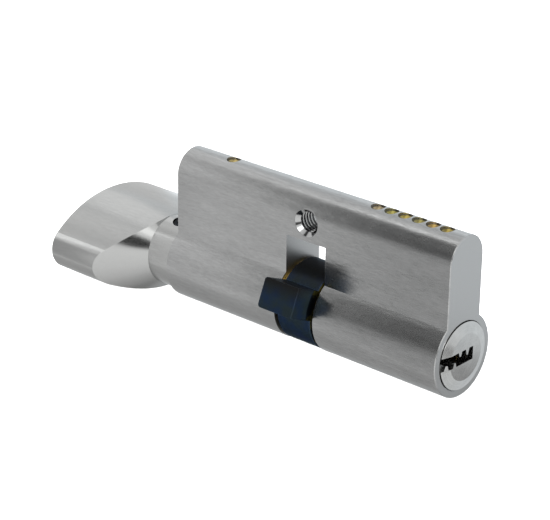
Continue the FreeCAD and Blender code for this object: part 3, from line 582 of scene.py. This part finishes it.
def make_spring(node, wire, turns, axis, material):
    """A coil that fills the CAD spring's box, from end to end along the axis."""
    low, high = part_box(node)
    across = (axis + 1) % 3
    radius = (high - low)[across] / 2 - wire
    length = (high - low)[axis]
    mesh = wire_mesh(node + "_coil", coil_line(radius, wire, length, turns), wire)
    upright = Vector((0, 0, 1)).rotation_difference(Vector([float(n == axis) for n in range(3)]))
    middle = (low + high) / 2
    middle[axis] = low[axis]
    mesh.transform(Matrix.Translation(middle) @ upright.to_matrix().to_4x4())
    mesh.materials.append(material)
    spring = bpy.data.objects.new(node + "_coil", mesh)
    scene.collection.objects.link(spring)
    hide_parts(node)
    return spring


def make_springs():
    wire = drawn_wire("spring_wire_steel", WIRE_STEEL, 0.24)
    for number in range(1, len(PLUG_TINTS) + 1):
        node = "pin_spring_%d" % number
        spring = make_spring(node, PIN_SPRING_WIRE, PIN_SPRING_TURNS, 2, wire)
        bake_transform(spring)
    turn_spring = make_spring("turn_pin_spring", PIN_SPRING_WIRE, PIN_SPRING_TURNS, 2, wire)
    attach(turn_spring, "housing")

    clutch_spring = make_spring("clutch_spring", CLUTCH_SPRING_WIRE, CLUTCH_SPRING_TURNS, 0, wire)
    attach(clutch_spring, "turn")
    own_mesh(clutch_spring)


make_springs()


# ---------------------------------------------------------------------------------------------
# Floor and light
# ---------------------------------------------------------------------------------------------

FLOOR_HALF_SIZE = 6.0
FLOOR_LIGHT_SIZE = 2.4
FLOOR_LIGHT_POWER = 60.0
FLOOR_LIGHT_PLACE = (0.1, 0.1, 1.4)


def make_floor():
    """A white floor that takes no part in shadows and isn't mirrored in the metal."""
    size = FLOOR_HALF_SIZE
    level = cad_box[0][2]
    data = bpy.data.meshes.new("floor")
    corners = [(-size, -size, level), (size, -size, level), (size, size, level), (-size, size, level)]
    data.from_pydata(corners, [], [(0, 1, 2, 3)])
    floor = bpy.data.objects.new("floor", data)
    scene.collection.objects.link(floor)
    paper = Finish("floor_paper", 0.0)
    fibre = paper.noise(paper.position((40, 40, 40)), 2.0, 0.5)
    paper.colour(paper.mix(fibre, (0.88, 0.88, 0.88), (0.9, 0.9, 0.9)))
    paper.rough(0.9)
    data.materials.append(paper.material)
    floor.visible_glossy = False
    floor.visible_shadow = False


def make_floor_light():
    """A wide overhead light that whitens the floor and isn't mirrored in the metal."""
    data = bpy.data.lights.new("floor_light", "AREA")
    data.shape = "DISK"
    data.size = FLOOR_LIGHT_SIZE
    data.energy = FLOOR_LIGHT_POWER
    data.use_shadow = False
    light = bpy.data.objects.new("floor_light", data)
    light.location = FLOOR_LIGHT_PLACE
    light.visible_camera = False
    light.visible_glossy = False
    scene.collection.objects.link(light)


# The studio's light from the left and the right: elevation in degrees, and level.
LEFT_LEVELS = ((-90, 0.20), (-72, 0.42), (-52, 0.44), (-36, 0.53), (-20, 0.64), (0, 0.72), (20, 0.78),
               (36, 0.74), (50, 0.64), (90, 0.72))
RIGHT_LEVELS = ((-90, 0.20), (-72, 0.44), (-52, 0.72), (-36, 0.88), (-12, 0.98), (20, 0.95),
                (45, 0.90), (90, 0.72))
DARKEST = 0.02

# Soft lights and dark cards of the studio: azimuth and elevation seen from the object, angles at
# which each is full and at which it has faded out, all in degrees, and the light that it adds.
STUDIO_PATCHES = (
    ("end_softbox", -172, 61, 4, 9, 0.7),
    ("crown_softbox", 127, 21, 4, 12, 0.24),
    ("knob_top_softbox", 176, 43, 4, 13, 0.16),
    ("low_left_softbox", -141, -22, 5, 14, 0.16),
    ("hole_softbox", -60, 37, 8, 15, 2.2),
    ("right_softbox", -26, 29, 4, 10, 0.55),
    ("right_dark_card", -39, 7, 7, 13, -0.95),
    ("far_right_dark_card", 22, -14, 3, 8, -0.5),
)


def level_by_height(nodes, height, levels):
    """Light level that goes through the given (elevation in degrees, level) pairs."""
    stops = [((math.sin(math.radians(angle)) + 1) / 2, level) for angle, level in levels]
    return nodes.ramp(height, stops)


def make_world():
    """A soft white studio: dim below, brighter to the right, with a white backdrop behind on the
    left. The light in each direction is a smooth function of it, with the patches added."""
    world = bpy.data.worlds.new("studio")
    world.use_nodes = True
    nodes = Nodes(world.node_tree)
    direction = (nodes.place, "Generated")
    x, y, z = nodes.split(direction)
    height = nodes.remap(z, -1.0, 1.0)
    left = level_by_height(nodes, height, LEFT_LEVELS)
    right = level_by_height(nodes, height, RIGHT_LEVELS)
    light = nodes.blend(nodes.remap(x, -0.35, 0.35, smooth=True), left, right)
    far_right = nodes.remap(nodes.math("ADD", x, y), 0.7, 1.3, 0.0, 0.16, True)
    light = nodes.math("SUBTRACT", light, far_right)
    from_horizon = nodes.math("ABSOLUTE", nodes.math("ADD", z, 0.24))
    horizon = nodes.remap(from_horizon, 0.1, 0.42, 0.5, 0.0, True)
    backdrop = nodes.math("MULTIPLY", horizon, nodes.remap(y, 0.35, 0.75, smooth=True))
    leftwards = nodes.remap(x, -0.2, -0.5, smooth=True)
    light = nodes.math("ADD", light, nodes.math("MULTIPLY", backdrop, leftwards))
    for name, azimuth, elevation, full, faded, strength in STUDIO_PATCHES:
        flat = math.cos(math.radians(elevation))
        toward = (math.cos(math.radians(azimuth)) * flat, math.sin(math.radians(azimuth)) * flat,
                  math.sin(math.radians(elevation)))
        agree = nodes.vector("DOT_PRODUCT", direction, toward)
        patch = nodes.remap(
            agree, math.cos(math.radians(faded)), math.cos(math.radians(full)), 0.0, strength, True)
        patch[0].label = name
        light = nodes.math("ADD", light, patch)
    background = nodes.add("ShaderNodeBackground")
    tint = nodes.mix(nodes.remap(y, 0.1, 0.8), (1.0, 1.0, 0.995), (0.955, 1.0, 1.03))
    nodes.wire(tint, background, "Color")
    nodes.wire(nodes.math("MAXIMUM", light, DARKEST), background, "Strength")
    output = nodes.add("ShaderNodeOutputWorld")
    nodes.wire((background, "Background"), output, "Surface")
    scene.world = world


def make_card(name, rows, level, solid):
    """A glowing card that shows only as a reflection in the metal, where it hides the studio
    behind it. It is made of rows of two corners each; level and solid give its glow and how solid
    it is, from the x, y and z nodes."""
    data = bpy.data.meshes.new(name)
    corners = [corner for row in rows for corner in row]
    data.from_pydata(corners, [], [(n, n + 1, n + 3, n + 2) for n in range(0, len(corners) - 2, 2)])
    card = bpy.data.objects.new(name, data)
    scene.collection.objects.link(card)
    material = bpy.data.materials.new(name)
    material.use_nodes = True
    nodes = Nodes(material.node_tree)
    place = nodes.split((nodes.place, "Object"))
    glow = nodes.add("ShaderNodeEmission")
    nodes.wire(level(nodes, *place), glow, "Strength")
    clear = nodes.add("ShaderNodeBsdfTransparent")
    both = nodes.add("ShaderNodeMixShader")
    nodes.wire(solid(nodes, *place), both, 0)
    nodes.wire((clear, "BSDF"), both, 1)
    nodes.wire((glow, "Emission"), both, 2)
    output = nodes.add("ShaderNodeOutputMaterial")
    nodes.wire((both, "Shader"), output, "Surface")
    data.materials.append(material)
    for kind in ("camera", "diffuse", "transmission"):
        setattr(card, "visible_" + kind, False)


# The dark card stands to the front left, where mostly the key side's half of the body mirrors it.
# Its edges lean to the left above CARD_LEAN_START. Its levels go from its bottom (0) to its top (1).
CARD_DISTANCE = 0.15
CARD_BOTTOM = -0.12
CARD_TOP = 0.60
CARD_FAR_LEAN = -0.57
CARD_NEAR_LEAN = -0.38
CARD_LEAN_START = 0.08
CARD_NEAR_EDGE = -0.02
CARD_FAR_EDGE = -0.13
CARD_FADE = 0.03
DARK_CARD_LEVELS = ((0.0, 0.44), (0.07, 0.43), (0.14, 0.42), (0.195, 0.26), (0.236, 0.08), (0.306, 0.06),
                    (0.375, 0.1), (0.54, 0.06), (0.7, 0.1), (0.83, 0.24), (1.0, 0.32))


def make_dark_card():
    rows = []
    for height in (CARD_BOTTOM, CARD_LEAN_START, CARD_TOP):
        raised = max(height - CARD_LEAN_START, 0.0)
        far = CARD_FAR_EDGE + raised * CARD_FAR_LEAN
        near = CARD_NEAR_EDGE + raised * CARD_NEAR_LEAN
        rows.append(((far, -CARD_DISTANCE, height), (near, -CARD_DISTANCE, height)))

    def level(nodes, x, y, z):
        return nodes.ramp(nodes.remap(z, CARD_BOTTOM, CARD_TOP), DARK_CARD_LEVELS)

    def solid(nodes, x, y, z):
        leaning = nodes.math("MAXIMUM", nodes.math("SUBTRACT", z, CARD_LEAN_START), 0.0)
        upright = nodes.math("SUBTRACT", x, nodes.math("MULTIPLY", leaning, CARD_FAR_LEAN))
        return nodes.remap(upright, CARD_FAR_EDGE, CARD_FAR_EDGE + CARD_FADE, smooth=True)

    make_card("dark_card", rows, level, solid)


# Softboxes and dark cards stand close on each side of the knob, where the body mirrors little of
# them: place across the cylinder, right edge, bottom, top, level, and width of the soft edges.
KNOB_CARD_LEFT = -0.21
KNOB_CARDS = (
    ("front_knob_softbox", -0.05, -0.1, 0.028, 0.092, 1.38, 0.01),
    ("back_knob_softbox", 0.05, -0.102, 0.04, 0.19, 0.98, 0.012),
    ("front_knob_dark_card", -0.05, -0.08, -0.035, 0.028, 0.46, 0.008),
    ("back_knob_dark_card", 0.05, -0.084, -0.05, 0.042, 0.74, 0.008),
)


def make_knob_card(name, y, right, bottom, top, level, fade):
    rows = [((KNOB_CARD_LEFT, y, height), (right, y, height)) for height in (bottom, top)]

    def solid(nodes, x, y, z):
        across = nodes.remap(x, right, right - fade, smooth=True)
        lower = nodes.remap(z, bottom, bottom + fade, smooth=True)
        upper = nodes.remap(z, top, top - fade, smooth=True)
        return nodes.math("MULTIPLY", across, nodes.math("MULTIPLY", lower, upper))

    make_card(name, rows, lambda nodes, x, y, z: level, solid)


# The low card lies beyond the key end, where mostly the bottom of the end face mirrors it.
LOW_CARD_HEIGHT = -0.05
LOW_CARD_HEADING = Vector((0.66, 0.75))
LOW_CARD_NEAR_END = 0.066
LOW_CARD_START = 0.098
LOW_CARD_END = 0.106
LOW_CARD_HALF_WIDTH = 0.04
LOW_CARD_LEVEL = 0.3


def make_low_card():
    end_face = cad_box[1][0]
    side = Vector((-LOW_CARD_HEADING.y, LOW_CARD_HEADING.x)) * LOW_CARD_HALF_WIDTH
    rows = []
    for reach in (LOW_CARD_NEAR_END, LOW_CARD_END):
        middle = Vector((end_face, 0)) + LOW_CARD_HEADING * reach
        rows.append(((*(middle - side), LOW_CARD_HEIGHT), (*(middle + side), LOW_CARD_HEIGHT)))

    def solid(nodes, x, y, z):
        beyond = nodes.math("SUBTRACT", x, end_face)
        reach = nodes.total((beyond, LOW_CARD_HEADING.x), (y, LOW_CARD_HEADING.y))
        return nodes.remap(reach, LOW_CARD_END, LOW_CARD_START, smooth=True)

    make_card("low_card", rows, lambda nodes, x, y, z: LOW_CARD_LEVEL, solid)


make_floor()
make_floor_light()
make_world()
make_dark_card()
for knob_card in KNOB_CARDS:
    make_knob_card(*knob_card)
make_low_card()
